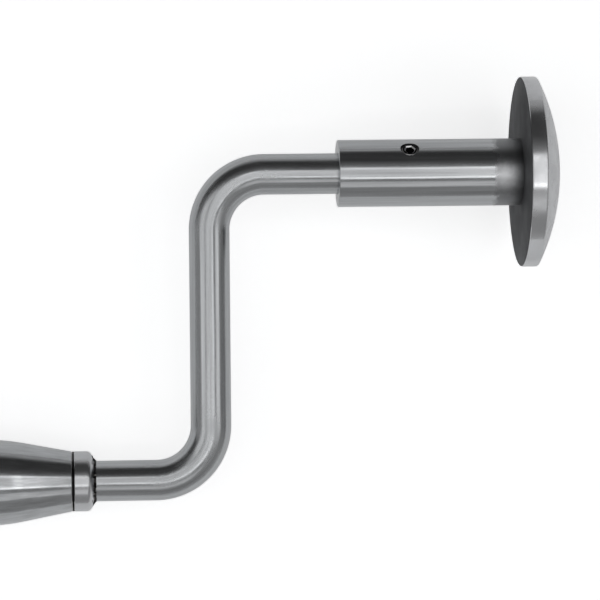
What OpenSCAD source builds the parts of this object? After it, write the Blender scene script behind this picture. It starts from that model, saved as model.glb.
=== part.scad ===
// Surgical hand drill: a crank brace with a spinning grip, a palm head that
// swivels on the bar, and a quick release chuck for drill bits.
// The drilling axis is X. It runs from the chuck's mouth, at the origin, to the
// palm head. The crank hangs towards -Y and lies in the XY plane.

/* [Crank] */
// Diameter of the bent bar
bar_d = 10; // [8:0.5:12]
// Distance from the drilling axis to the grip's axis
throw = 75; // [60:1:95]
// Distance between the axes of the two crank arms
arm_spacing = 144; // [120:1:180]
// Centre line radius of the four bends
bend_r = 13.5; // [11:0.5:18]
// Distance from the chuck's rear end to the axis of the near arm
chuck_neck = 26; // [20:0.5:45]
// Distance from the axis of the far arm to the open end of the head's sleeve
head_neck = 31.6; // [20:0.1:45]

/* [Palm head] */
// Outer diameter of the sleeve that turns on the bar
sleeve_d = 16.5; // [13.5:0.25:20]
// Length of the sleeve
sleeve_l = 45.1; // [42:0.1:60]
// Length of the lip that closes round the bar at the sleeve's open end
sleeve_lip_l = 1.5; // [1:0.25:2.5]
// Diameter of the palm disc
disc_d = 46.8; // [39:0.2:60]
// Thickness of the disc at its rim
rim_t = 3.9; // [2.5:0.1:6]
// Radius that rounds both edges of the rim
rim_round = 0.5; // [0.3:0.1:1.2]
// Height of the dome that the palm rests on
dome_h = 5.6; // [3:0.1:10]
// Distance from the sleeve's open end to the retaining screw
screw_x = 17.4; // [16:0.1:19]
// Angle of the retaining screw from straight up, away from the crank
screw_turn = 48; // [0:1:90]
// Diameter of the retaining screw
screw_d = 4; // [3.5:0.1:5.5]
// Width across the flats of the screw's hexagon socket
screw_af = 2; // [1.5:0.1:2.5]
// Depth of the hexagon socket
socket_depth = 1.5; // [1:0.1:1.8]
// Angle of the hexagon's corners about the screw
socket_turn = 52; // [0:1:60]
// How deep the screw sits below the sleeve's surface
screw_sink = 0.6; // [0.3:0.1:1]
// Diameter of the screw's plain tip
dog_d = 2.5; // [2:0.1:3]
// Depth of the bar's ring groove that holds the tip
groove_depth = 1.2; // [0.8:0.1:1.6]
// Wall of the sleeve's bushes
sleeve_bush_t = 0.9; // [0.6:0.05:1.2]
// Length of each of the sleeve's bushes
sleeve_bush_l = 11; // [8:0.5:12]
// Diameter of the thrust ball at the bar's end
thrust_ball_d = 6; // [4:0.5:7]
// Thickness of the hardened cup behind the thrust ball
cup_t = 3; // [2.2:0.1:4]
// Length of the disc's spigot inside the sleeve
spigot_l = 4; // [2:0.5:6]

/* [Grip] */
// Diameter of the grip at its ends
grip_end_d = 14.8; // [14.6:0.1:17]
// Diameter of the grip at its middle
grip_mid_d = 21.6; // [20:0.1:26]
// Slope of the grip's tapered ends
grip_taper = 10.8; // [8:0.1:14]
// Radius that blends each taper into the crown
grip_blend_r = 50; // [30:1:80]
// Radius of the long crown along the grip
grip_crown_r = 600; // [300:10:2000]
// Distance from an arm's axis to the outer end of the grip collar
collar_reach = 28.7; // [20:0.1:32]
// Diameter of the grip collars
collar_d = 14.8; // [14:0.1:17]
// Length of the grip collars
collar_l = 5; // [4:0.1:8]
// Slope of the collar's outer end
collar_slope = 62; // [50:1:70]
// Radius where that slope meets the collar's rim
collar_round = 1; // [0.8:0.1:1.8]
// Wall of the grip's bushes
grip_bush_t = 1; // [0.6:0.1:1.2]
// Length of the grip's bushes
grip_bush_l = 9; // [6:0.5:14]
// Thickness of the black washer between the grip and each collar
washer_t = 0.5; // [0.3:0.05:0.8]

/* [Chuck] */
// Length of the chuck body
chuck_l = 58; // [54:1:70]
// Radius of the guide bore at the mouth
guide_r = 4.8; // [4:0.1:5]
// Depth of the guide bore
guide_l = 11; // [8:0.5:12]
// Radius of the bore at the locking balls
lock_r = 3.9; // [3.5:0.1:4.2]
// Depth of the socket, where the driver insert starts
socket_l = 24; // [22:0.5:26]
// Length of the driver insert that turns the bit's flat tang
insert_l = 10; // [8:0.5:12]
// Width of the tang slot
tang_w = 7.6; // [6:0.1:7.8]
// Height of the tang slot
tang_h = 4.6; // [4:0.1:4.8]
// Distance from the mouth to the locking balls
ball_x = 16; // [15.5:0.1:17]
// Diameter of the locking balls
ball_d = 4; // [3.4:0.1:4.8]
// How far a locked ball stands into the socket
ball_bite = 0.87; // [0.6:0.01:0.95]
// How far a ball moves outwards when the chuck is released
ball_lift = 1; // [0.96:0.01:1.2]
// How far the release collar slides back
release_travel = 5; // [4:0.5:6]
// Distance from the mouth to the front face of the release collar
release_x = 2; // [1:0.1:2.2]
// Length of the release collar
release_l = 30; // [28:0.5:34]
// Wall of the release collar over the spring
release_wall = 1.2; // [0.8:0.1:2]
// How far the collar's rear rim stands out
rim_proud = 1.2; // [0.6:0.1:2]
// Wire diameter of the collar's return spring
wire_d = 1.2; // [0.8:0.1:1.4]
// Number of turns of the return spring
spring_turns = 6; // [5:1:8]
// Thickness of the retaining ring on the nose
ring_t = 1; // [0.8:0.1:1.2]
// Width of the gap in the retaining ring
ring_gap = 3; // [2:0.5:5]
// Length of the rear flange
flange_l = 6; // [4:0.5:8]
// Diameter of the cross pin that holds the chuck on the bar
pin_d = 3; // [2:0.5:4]
// Distance from the pin to the chuck's rear end
pin_from_end = 7; // [5:0.5:9]

/* [Clearances] */
// Radial clearance of everything that turns or slides
run_gap = 0.05; // [0.03:0.01:0.08]
// Radial clearance of what is pressed or soldered in
seat_gap = 0.02; // [0.01:0.01:0.03]
// Radial clearance where the bar only passes through
pass_gap = 0.15; // [0.1:0.05:0.3]
// End play of the grip against the washer at each end
end_play = 0.1; // [0.06:0.02:0.3]
// Bevel that breaks sharp edges
edge = 0.3; // [0.1:0.05:0.4]

/* [Hidden] */
$fn = 96;

// Places along the drilling axis
bar_r = bar_d / 2;
bar_x0 = socket_l + insert_l;
near_arm_x = chuck_l + chuck_neck;
far_arm_x = near_arm_x + arm_spacing;
sleeve_x = far_arm_x + head_neck;
disc_x = sleeve_x + sleeve_l;
rim_x = disc_x + rim_t;

// Head: the stack from the disc back to the bar's end
sleeve_r = sleeve_d / 2;
disc_r = disc_d / 2;
dome_r = (disc_r * disc_r + dome_h * dome_h) / (2 * dome_h);
dome_x = rim_x + dome_h - dome_r;
round_r = disc_r - rim_round;
round_x = dome_x + sqrt(pow(dome_r - rim_round, 2) - round_r * round_r);
round_a = atan2(round_r, round_x - dome_x);
skin = 0.005;
sleeve_seat_r = bar_r + run_gap + sleeve_bush_t;
open_bush_x = sleeve_x + sleeve_lip_l;
screw_at = sleeve_x + screw_x;
cup_x = disc_x - spigot_l - cup_t;
thrust_bite = thrust_ball_d / 6;
thrust_x = cup_x + thrust_bite - thrust_ball_d / 2;
bar_x1 = thrust_x + thrust_bite - thrust_ball_d / 2;
thrust_seat_r = thrust_ball_d / 2 + run_gap;
groove_r = bar_r - groove_depth;
dog_tip_r = groove_r + edge;
dog_root_r = sleeve_seat_r - edge;
screw_top_r = sleeve_r - screw_sink;
screw_hole_r = screw_d / 2 + seat_gap;

// Grip: its length, and the arcs of its outline
grip_x0 = near_arm_x + collar_reach + collar_l + washer_t + end_play;
grip_x1 = far_arm_x - collar_reach - collar_l - washer_t - end_play;
grip_l = grip_x1 - grip_x0;
grip_seat_r = bar_r + run_gap + grip_bush_t;
grip_bore_r = bar_r + 2 * edge;
washer_r = min(grip_end_d, collar_d) / 2 - run_gap;
taper_dir = [cos(grip_taper), sin(grip_taper)];
taper_in = [sin(grip_taper), -cos(grip_taper)];
crown_c = [grip_l / 2, grip_mid_d / 2 - grip_crown_r];
start_q = [0, grip_end_d / 2] + grip_blend_r * taper_in - crown_c;
along_q = start_q * taper_dir;
inner_r = grip_crown_r - grip_blend_r;
taper_l = sqrt(along_q * along_q - start_q * start_q + inner_r * inner_r) - along_q;
blend_c = crown_c + start_q + taper_l * taper_dir;
blend_a = atan2(blend_c.y - crown_c.y, blend_c.x - crown_c.x);

// Chuck: the barrel is as thick as the locked balls need
ball_r = ball_d / 2;
ball_lock_r = lock_r + ball_r - ball_bite;
ball_proud = 0.03;
barrel_r = ball_lock_r + ball_r - ball_proud;
pocket_r = ball_r + run_gap;
pocket_floor_r = lock_r + 0.18;
lip_r = sqrt(pow(ball_r + seat_gap, 2) - pow(ball_lock_r - pocket_floor_r, 2));
ball_turns = [90, 210, 330];

// Release collar: its cone lets the balls out as it slides back
land_r = barrel_r + run_gap;
cone_ratio = ball_lift / release_travel;
cone_at_ball_r = ball_lock_r + ball_r / cos(atan(cone_ratio)) + run_gap / 2;
cone_x1 = ball_x + (cone_at_ball_r - land_r) / cone_ratio;
cone_x0 = ball_x - release_travel - 0.6;
cone_r = land_r + (cone_x1 - cone_x0) * cone_ratio;
front_land_x1 = ball_x - release_travel - ball_r;
ring_x = release_x + 0.8;
ring_groove_r = barrel_r - 0.8;
ring_r = barrel_r + 1.1;
ring_room_r = ring_r + edge;
ring_floor_x = ring_x + ring_t + run_gap;
spring_room = 2.2;
chamber_r = barrel_r + spring_room;
chamber_x = cone_x1 + 3.8;
release_r = chamber_r + release_wall;
band_r = release_r + 0.4;
band_x0 = release_x + 3;
band_x1 = chamber_x - 2;
rim_r = release_r + rim_proud;
release_x1 = release_x + release_l;
flange_x = release_x1 + release_travel + 1;
flange_r = release_r + 0.2;
tail_r0 = flange_r - 1.4;
tail_r1 = bar_r + 2.2;
tail_x0 = flange_x + flange_l + 0.6;
pin_x = chuck_l - pin_from_end;

// Return spring: close end turns, open turns between them
spring_r = barrel_r + spring_room / 2;
spring_x0 = chamber_x + 0.1 + wire_d / 2;
spring_x1 = flange_x - 0.1 - wire_d / 2;
end_pitch = wire_d + 0.5;
open_pitch = (spring_x1 - spring_x0 - 2 * end_pitch) / (spring_turns - 2);
ring_steps = 24;
wire_sides = 6;
spring_rings = spring_turns * ring_steps + 1;

// Points on an arc about c, from angle a0 to a1 in n steps
function arc(c, r, a0, a1, n) =
    [for (i = [0:n]) c + r * [cos(a0 + (a1 - a0) * i / n), sin(a0 + (a1 - a0) * i / n)]];

// The same outline, seen from the other end of a piece of length l
function flipped(points, l) =
    [for (i = [len(points) - 1:-1:0]) [l - points[i].x, points[i].y]];

// How far the spring has climbed after a number of turns
function spring_climb(turn) =
    turn < 1 ? end_pitch * turn
    : turn > spring_turns - 1 ? spring_x1 - spring_x0 - end_pitch * (spring_turns - turn)
    : end_pitch + open_pitch * (turn - 1);

// A point on the spring's centre line
function spring_point(i) =
    let (turn = i / ring_steps)
    [spring_x0 + spring_climb(turn), spring_r * cos(360 * turn), spring_r * sin(360 * turn)];

// A point on the skin of the spring's wire
function wire_point(i, side) =
    let (c = spring_point(i), a = 360 * side / wire_sides, out = wire_d / 2 * cos(a))
    [c.x + wire_d / 2 * sin(a), c.y * (1 + out / spring_r), c.z * (1 + out / spring_r)];

// A piece turned about the X axis, from its outline of [x, radius] points
module turned(points) {
    rotate([0, 90, 0])
        rotate_extrude()
            polygon([for (p = points) [p.y, p.x]]);
}

// A round rod on the X axis
module rod(r, x0, x1) {
    translate([x0, 0, 0])
        rotate([0, 90, 0])
            cylinder(r = r, h = x1 - x0);
}

// Puts a piece on the grip's axis
module on_grip_axis(x) {
    translate([x, -throw, 0])
        children();
}

// A quarter bend of the bar, from angle a0, about the point [x, y]
module bend(x, y, a0) {
    translate([x, y, 0])
        rotate([0, 0, a0])
            rotate_extrude(angle = 90)
                translate([bend_r, 0])
                    circle(r = bar_r);
}

// An upright arm of the crank, between its two bends
module arm(x) {
    translate([x, -bend_r, 0])
        rotate([90, 0, 0])
            cylinder(r = bar_r, h = throw - 2 * bend_r);
}

// A plain bush about the X axis
module bush(r, l) {
    turned([
        [0, bar_r + run_gap], [l, bar_r + run_gap],
        [l, r - edge], [l - edge, r], [edge, r], [0, r - edge]
    ]);
}

// The hole that the cross pin goes through
module pin_hole() {
    translate([pin_x, 0, -2 * tail_r0])
        cylinder(d = pin_d + 2 * seat_gap, h = 4 * tail_r0);
}

// The chuck's outline behind its flange
function tail_outline() = [
    [tail_x0, 0], [tail_x0, tail_r0], [chuck_l - 2 * edge, tail_r1],
    [chuck_l, tail_r1 - 2 * edge], [chuck_l, 0]
];

// The disc and its spigot in one piece, domed where the palm rests. The rounded
// outline stands a hair outside the dome's sphere, which then cuts it back.
module palm_disc() {
    outline = concat(
        [
            [disc_x - spigot_l, 0], [disc_x - spigot_l, sleeve_seat_r - seat_gap - edge],
            [disc_x - spigot_l + edge, sleeve_seat_r - seat_gap],
            [disc_x, sleeve_seat_r - seat_gap]
        ],
        arc([disc_x + rim_round, round_r], rim_round, 180, 90, 5),
        arc([round_x + skin, round_r], rim_round, 90, round_a, 5),
        [[rim_x + 2 * dome_h, round_r], [rim_x + 2 * dome_h, 0]]
    );
    color("silver")
        intersection() {
            turned(outline);
            translate([dome_x, 0, 0])
                sphere(r = dome_r, $fn = 192);
        }
}

// The sleeve is bored from the disc's end up to a lip, which the bushes go in against
module head_sleeve() {
    color("silver")
        difference() {
            turned([
                [sleeve_x, bar_r + pass_gap], [sleeve_x, sleeve_r - edge],
                [sleeve_x + edge, sleeve_r], [disc_x, sleeve_r], [disc_x, sleeve_seat_r],
                [open_bush_x, sleeve_seat_r], [open_bush_x, bar_r + pass_gap]
            ]);
            translate([screw_at, 0, 0])
                rotate([-screw_turn, 0, 0])
                    screw_hole();
        }
}

// The retaining screw's hole, countersunk at the sleeve's surface
module screw_hole() {
    cylinder(r = screw_hole_r, h = sleeve_r + 1);
    translate([0, 0, sleeve_r - edge])
        cylinder(r1 = screw_hole_r, r2 = screw_hole_r + edge + 1, h = edge + 1);
}

module sleeve_bush_open_end() {
    color("goldenrod")
        translate([open_bush_x, 0, 0])
            bush(sleeve_seat_r - seat_gap, sleeve_bush_l);
}

module sleeve_bush_disc_end() {
    color("goldenrod")
        translate([thrust_x - thrust_ball_d / 2 - sleeve_bush_l, 0, 0])
            bush(sleeve_seat_r - seat_gap, sleeve_bush_l);
}

// The screw's plain tip runs in the bar's ring groove and keeps the head on
module retaining_screw() {
    color("dimgray")
        translate([screw_at, 0, 0])
            rotate([-screw_turn, 0, 0])
                difference() {
                    union() {
                        translate([0, 0, dog_root_r])
                            cylinder(d = screw_d, h = screw_top_r - dog_root_r - edge);
                        translate([0, 0, screw_top_r - edge])
                            cylinder(d1 = screw_d, d2 = screw_d - 2 * edge, h = edge);
                        translate([0, 0, dog_tip_r])
                            cylinder(d = dog_d, h = dog_root_r - dog_tip_r);
                    }
                    translate([0, 0, screw_top_r - socket_depth])
                        rotate([0, 0, socket_turn])
                            cylinder(d = screw_af / cos(30), h = 2 * socket_depth, $fn = 6);
                }
}

module thrust_ball() {
    color("gainsboro")
        translate([thrust_x, 0, 0])
            sphere(d = thrust_ball_d);
}

module thrust_cup() {
    color("darkgray")
        difference() {
            turned([
                [cup_x, 0], [cup_x, sleeve_seat_r - seat_gap - edge],
                [cup_x + edge, sleeve_seat_r - seat_gap],
                [cup_x + cup_t, sleeve_seat_r - seat_gap], [cup_x + cup_t, 0]
            ]);
            translate([thrust_x, 0, 0])
                sphere(r = thrust_seat_r);
        }
}

module crank_bar() {
    color("silver")
        difference() {
            union() {
                rod(bar_r, bar_x0, near_arm_x - bend_r);
                bend(near_arm_x - bend_r, -bend_r, 0);
                arm(near_arm_x);
                bend(near_arm_x + bend_r, bend_r - throw, 180);
                on_grip_axis(0)
                    rod(bar_r, near_arm_x + bend_r, far_arm_x - bend_r);
                bend(far_arm_x - bend_r, bend_r - throw, 270);
                arm(far_arm_x);
                bend(far_arm_x + bend_r, -bend_r, 90);
                rod(bar_r, far_arm_x + bend_r, bar_x1);
            }
            bar_groove();
            thrust_seat();
            pin_hole();
        }
}

// The ring groove that the retaining screw's tip runs in
module bar_groove() {
    difference() {
        rod(bar_r + 1, screw_at - dog_d / 2 - edge, screw_at + dog_d / 2 + edge);
        rod(groove_r, screw_at - dog_d, screw_at + dog_d);
    }
}

// The drilled cone in the bar's end that the thrust ball sits in
module thrust_seat() {
    cone_l = thrust_seat_r / sin(60);
    translate([thrust_x - cone_l, 0, 0])
        rotate([0, 90, 0])
            cylinder(r1 = 0, r2 = cone_l * tan(60), h = cone_l);
}

module grip_barrel() {
    half = concat(
        [[0, grip_end_d / 2 - edge], [edge * cos(grip_taper), grip_end_d / 2]],
        arc(blend_c, grip_blend_r, 90 + grip_taper, blend_a, 10),
        arc(crown_c, grip_crown_r, blend_a, 90, 6)
    );
    far_half = [for (i = [1:len(half) - 1]) flipped(half, grip_l)[i]];
    color("silver")
        on_grip_axis(grip_x0)
            difference() {
                turned(concat(
                    half, far_half, [[grip_l, grip_seat_r], [0, grip_seat_r]]
                ));
                rod(grip_bore_r, -1, grip_l + 1);
            }
}

module grip_bush_head_side() {
    color("goldenrod")
        on_grip_axis(grip_x1 - grip_bush_l)
            bush(grip_seat_r - seat_gap, grip_bush_l);
}

module grip_bush_chuck_side() {
    color("goldenrod")
        on_grip_axis(grip_x0)
            bush(grip_seat_r - seat_gap, grip_bush_l);
}

// A thin washer that the grip's end turns against, from the side next to its collar
module grip_washer(x) {
    color("black")
        on_grip_axis(x)
            turned([
                [0, bar_r + pass_gap], [0, washer_r],
                [washer_t, washer_r], [washer_t, bar_r + pass_gap]
            ]);
}

module grip_washer_head_side() {
    grip_washer(grip_x1 + end_play / 2);
}

module grip_washer_chuck_side() {
    grip_washer(grip_x0 - end_play / 2 - washer_t);
}

// Outline of a grip collar, whose sloped outer end is at x = 0
function collar_outline() =
    let (
        bore_r = bar_r + seat_gap,
        foot_r = bore_r + 0.1,
        corner_x = (collar_d / 2 - foot_r) / tan(collar_slope),
        centre_x = corner_x + collar_round * tan(collar_slope / 2)
    )
    concat(
        [[0, bore_r], [0, foot_r]],
        arc([centre_x, collar_d / 2 - collar_round], collar_round, 90 + collar_slope, 90, 8),
        [[collar_l - edge / 2, collar_d / 2], [collar_l, collar_d / 2 - edge / 2], [collar_l, bore_r]]
    );

module grip_collar_head_side() {
    color("silver")
        on_grip_axis(grip_x1 + end_play + washer_t)
            turned(flipped(collar_outline(), collar_l));
}

module grip_collar_chuck_side() {
    color("silver")
        on_grip_axis(near_arm_x + collar_reach)
            turned(collar_outline());
}

module chuck_body() {
    color("silver")
        difference() {
            union() {
                turned([
                    [0, 0], [0, barrel_r - 0.8], [0.8, barrel_r],
                    [ring_x - run_gap, barrel_r], [ring_x - run_gap, ring_groove_r],
                    [ring_x + ring_t + run_gap, ring_groove_r],
                    [ring_x + ring_t + run_gap, barrel_r], [flange_x, barrel_r],
                    [flange_x, flange_r - edge], [flange_x + edge, flange_r],
                    [flange_x + flange_l - edge, flange_r],
                    [flange_x + flange_l, flange_r - edge], [tail_x0, tail_r0], [tail_x0, 0]
                ]);
                turned(tail_outline());
            }
            rod(guide_r, -1, guide_l);
            rod(lock_r, 0, socket_l + 1);
            rod(bar_r + seat_gap, socket_l, chuck_l + 1);
            for (turn = ball_turns)
                ball_pocket(turn);
            pin_hole();
        }
}

// A ball's pocket: a bore, and a smaller hole whose lip keeps the ball in
module ball_pocket(turn) {
    translate([ball_x, 0, 0])
        rotate([turn - 90, 0, 0]) {
            cylinder(r = lip_r, h = barrel_r);
            translate([0, 0, pocket_floor_r])
                cylinder(r = pocket_r, h = barrel_r);
        }
}

module locking_ball(turn) {
    color("gainsboro")
        translate([ball_x, 0, 0])
            rotate([turn - 90, 0, 0])
                translate([0, 0, ball_lock_r])
                    sphere(d = ball_d);
}

module locking_ball_1() {
    locking_ball(ball_turns[0]);
}

module locking_ball_2() {
    locking_ball(ball_turns[1]);
}

module locking_ball_3() {
    locking_ball(ball_turns[2]);
}

// The driver insert's slot turns the flat tang at the end of a bit
module driver_insert() {
    color("darkgray")
        difference() {
            turned([
                [socket_l, 0], [socket_l, bar_r - edge], [socket_l + edge, bar_r],
                [bar_x0, bar_r], [bar_x0, 0]
            ]);
            translate([socket_l - 1, -tang_w / 2, -tang_h / 2])
                cube([insert_l + 2, tang_w, tang_h]);
        }
}

// The cross pin is dressed flush with the chuck's tapered tail
module chuck_pin() {
    color("darkgray")
        intersection() {
            translate([pin_x, 0, -2 * tail_r0])
                cylinder(d = pin_d, h = 4 * tail_r0);
            turned(tail_outline());
        }
}

module release_collar() {
    color("silver")
        turned([
            [release_x, ring_room_r], [release_x, release_r - 0.8], [release_x + 0.8, release_r],
            [band_x0, release_r], [band_x0 + 0.4, band_r],
            [band_x1 - 0.4, band_r], [band_x1, release_r],
            [release_x1 - 5, release_r], [release_x1 - 3.4, rim_r - 0.3],
            [release_x1 - 2.8, rim_r], [release_x1 - 0.8, rim_r], [release_x1, rim_r - 0.8],
            [release_x1, chamber_r], [chamber_x, chamber_r], [chamber_x, land_r],
            [cone_x1, land_r], [cone_x0, cone_r], [front_land_x1, cone_r],
            [front_land_x1, land_r], [ring_floor_x, land_r], [ring_floor_x, ring_room_r]
        ]);
}

module retaining_ring() {
    color("darkgray")
        difference() {
            turned([
                [ring_x, ring_groove_r + seat_gap], [ring_x, ring_r],
                [ring_x + ring_t, ring_r], [ring_x + ring_t, ring_groove_r + seat_gap]
            ]);
            translate([ring_x - 1, -ring_gap / 2, -2 * ring_r])
                cube([ring_t + 2, ring_gap, 2 * ring_r]);
        }
}

// The return spring, one unbroken wire, pushes the release collar forwards
module collar_spring() {
    last = spring_rings - 1;
    centres = [for (i = [0:last]) spring_point(i)];
    apart = round(ring_steps * 0.75);
    echo(spring_least_gap = min([
        for (i = [0:last - apart], j = [i + apart:last]) norm(centres[i] - centres[j])
    ]) - wire_d);
    skin = [for (i = [0:last], side = [0:wire_sides - 1]) wire_point(i, side)];
    walls = [
        for (i = [0:last - 1], side = [0:wire_sides - 1])
            let (
                a = i * wire_sides + side,
                b = i * wire_sides + (side + 1) % wire_sides
            )
            for (face = [[a, b, b + wire_sides], [a, b + wire_sides, a + wire_sides]])
                face
    ];
    first_cap = [for (side = [1:wire_sides - 2]) [0, side + 1, side]];
    last_cap = [
        for (side = [1:wire_sides - 2])
            [last * wire_sides, last * wire_sides + side, last * wire_sides + side + 1]
    ];
    color("gray")
        polyhedron(skin, concat(walls, first_cap, last_cap), convexity = 10);
}

palm_disc();
head_sleeve();
sleeve_bush_open_end();
sleeve_bush_disc_end();
retaining_screw();
thrust_ball();
thrust_cup();
crank_bar();
grip_barrel();
grip_bush_head_side();
grip_bush_chuck_side();
grip_washer_head_side();
grip_washer_chuck_side();
grip_collar_head_side();
grip_collar_chuck_side();
chuck_body();
driver_insert();
chuck_pin();
release_collar();
collar_spring();
locking_ball_1();
locking_ball_2();
locking_ball_3();
retaining_ring();
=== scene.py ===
# %% [markdown]
# # A surgical hand drill in polished stainless steel
# The tool is a crank brace. One hand presses on the domed palm head, the other
# spins the barrel grip round the crank, and a chuck at the far end holds the
# drill bit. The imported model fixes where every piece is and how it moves. This
# file gives the pieces their finish. Shapes that a lathe or a bender made are
# made again here with far finer curves, because polished metal shows every flat.

# %% Load the frame
import math

import bmesh
import bpy
import numpy as np
from mathutils import Matrix, Vector, noise


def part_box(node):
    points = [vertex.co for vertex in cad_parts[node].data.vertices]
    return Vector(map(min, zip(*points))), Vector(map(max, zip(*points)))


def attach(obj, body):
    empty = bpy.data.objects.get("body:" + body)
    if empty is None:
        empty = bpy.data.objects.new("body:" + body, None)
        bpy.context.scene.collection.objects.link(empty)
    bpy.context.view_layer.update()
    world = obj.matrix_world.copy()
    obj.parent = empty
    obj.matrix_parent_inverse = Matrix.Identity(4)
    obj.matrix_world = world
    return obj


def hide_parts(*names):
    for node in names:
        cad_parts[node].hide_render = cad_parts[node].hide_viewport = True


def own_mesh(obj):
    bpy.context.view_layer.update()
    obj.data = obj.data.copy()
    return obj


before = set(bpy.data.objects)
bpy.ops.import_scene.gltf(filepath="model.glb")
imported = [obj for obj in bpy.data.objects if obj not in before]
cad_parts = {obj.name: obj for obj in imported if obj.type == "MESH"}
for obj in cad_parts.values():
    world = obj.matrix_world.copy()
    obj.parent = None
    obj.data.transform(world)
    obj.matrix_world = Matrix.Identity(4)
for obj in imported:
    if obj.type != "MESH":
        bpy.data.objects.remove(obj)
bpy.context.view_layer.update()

MM = 0.001
HAIR = 0.01             # in mm, sets two things just apart
MICRON = 0.001          # in mm, too small a difference to count

# %% [markdown]
# ## Camera
# The photograph looks almost straight down on the tool, which lies on a table.
# A camera could be turned by hand until the outlines agree. Here its place and
# aim were fitted to the outlines of the bar, sleeve, disc and grip, so they are
# real distances in the tool's own frame, and the long lens is the fitted one.

# %% Camera
CAMERA_AT = Vector((195.6, 25.8, 822.0)) * MM
CAMERA_AIM = Vector((250.2, -31.0, 0.0)) * MM
CAMERA_ROLL = -0.008
CAMERA_LENS = 201.4

camera_back = (CAMERA_AT - CAMERA_AIM).normalized()
level_right = Vector((0, 1, 0)).cross(camera_back).normalized()
camera_right = Matrix.Rotation(CAMERA_ROLL, 3, camera_back) @ level_right
camera_up = camera_back.cross(camera_right)
camera_turn = Matrix((camera_right, camera_up, camera_back)).transposed().to_4x4()

camera_data = bpy.data.cameras.new("camera")
camera_data.lens = CAMERA_LENS
camera = bpy.data.objects.new("camera", camera_data)
bpy.context.scene.collection.objects.link(camera)
bpy.context.scene.camera = camera
camera.matrix_world = Matrix.Translation(CAMERA_AT) @ camera_turn
print("camera is", round((CAMERA_AT - CAMERA_AIM).length, 3), "m from what it looks at")

# %% [markdown]
# ## Colours and nodes
# Colours are written as the hex values that a picture editor shows, and one
# function turns them into the linear values that the renderer works with. One
# more function adds a node with its settings and links, for materials and for
# Geometry Nodes alike, so each recipe below reads from top to bottom.


# %% Colour and node helpers
def linear(code):
    """The linear colour of an sRGB hex value such as "#BCBEC0"."""
    channels = [int(code[i:i + 2], 16) / 255 for i in (1, 3, 5)]
    return [c / 12.92 if c <= 0.04045 else ((c + 0.055) / 1.055) ** 2.4 for c in channels] + [1.0]


def node(tree, kind, inputs=None, **settings):
    """Adds a node. Each input named gets a value, another node's first output, or any socket."""
    made = tree.nodes.new(kind)
    for key, value in settings.items():
        setattr(made, key, value)
    for socket, value in (inputs or {}).items():
        if isinstance(value, bpy.types.Node):
            value = value.outputs[0]
        if isinstance(value, bpy.types.NodeSocket):
            tree.links.new(value, made.inputs[socket])
        else:
            made.inputs[socket].default_value = value
    return made


def new_material(name):
    """A material with an empty node tree."""
    material = bpy.data.materials.new(name)
    material.use_nodes = True
    material.node_tree.nodes.clear()
    return material, material.node_tree


def finished_look(material, tree, surface):
    """Ends a material's tree with one surface made of these inputs."""
    shader = node(tree, "ShaderNodeBsdfPrincipled", surface)
    node(tree, "ShaderNodeOutputMaterial", {"Surface": shader})
    print("material", material.name)
    return material


# %% [markdown]
# ## The steel
# All the bright pieces are austenitic stainless steel. It is a grey metal whose
# look is nearly all reflection, so its tone hardly changes and the finish is in
# the roughness and the bumps. Belt polishing runs along a bar: the belt leaves
# narrow flats, about 2 mm wide and very long, and fine lines between them. A
# pattern on plain coordinates would run off at a bend, so the bar and all that
# is turned keep a vector named grain: its first number runs along the piece,
# the other two lie across it. The patterns are drawn in that space.

# %% Steel tone and pattern sizes
STEEL = "#BDBFC1"
FLAT_SIZE = (45 * MM, 2.2 * MM)
LINE_SIZE = (22 * MM, 0.32 * MM)
BRUSHED_SIZE = (30 * MM, 0.9 * MM)
WAVE_SIZE = (14 * MM, 9 * MM)
SMUDGE_SIZE = (17 * MM, 17 * MM)
NOISE_LOW, NOISE_HIGH = 0.3, 0.7        # soft noise lies between these nearly everywhere


def streaks(tree, grain, size, detail=2.0):
    """Soft noise drawn out to a real length along the grain and a real width across it."""
    length, width = size
    scaled = node(tree, "ShaderNodeVectorMath", {
        0: grain, 1: (1 / length, 1 / width, 1 / width)}, operation="MULTIPLY")
    return node(tree, "ShaderNodeTexNoise", {"Vector": scaled, "Scale": 1.0, "Detail": detail})


# %% [markdown]
# ### Where the belt can't reach
# The belt can't follow the bends of the bar, which are rougher in patches.
# Close to the disc it can't reach the sleeve either. That end is dull grey from
# the soldering. It is also darker towards the joint, and one paler patch on its
# top is a painted highlight. Both could be painted on the mesh, but a straight
# run has points only at its ends. The distance along the piece is the grain's
# first number, so the material works both out from that.

# %% Rougher patches in the bends
HAND_PATCH = (9 * MM, 3 * MM)
HAND_PATCH_FROM, HAND_PATCH_TO = 0.4, 0.75
BENT_ROUGHNESS = 0.16
BENT_FADE = 9 * MM


def rough_in_bends(tree, grain, along, rough, half_l, middles):
    """Adds roughness in patches round the middle of each bend."""
    nearest = 1.0           # a metre, further than any bend
    for middle in middles:
        from_middle = node(tree, "ShaderNodeMath", {
            0: node(tree, "ShaderNodeMath", {0: along, 1: middle}, operation="SUBTRACT")},
            operation="ABSOLUTE")
        nearest = node(tree, "ShaderNodeMath", {0: nearest, 1: from_middle}, operation="MINIMUM")
    bent = node(tree, "ShaderNodeMapRange", {
        "Value": nearest, "From Min": half_l, "From Max": half_l + BENT_FADE,
        "To Min": BENT_ROUGHNESS, "To Max": 0.0})
    patches = node(tree, "ShaderNodeMapRange", {
        "Value": streaks(tree, grain, HAND_PATCH, 3.0),
        "From Min": HAND_PATCH_FROM, "From Max": HAND_PATCH_TO})
    return node(tree, "ShaderNodeMath", {0: bent, 1: patches, 2: rough}, operation="MULTIPLY_ADD")


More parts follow.
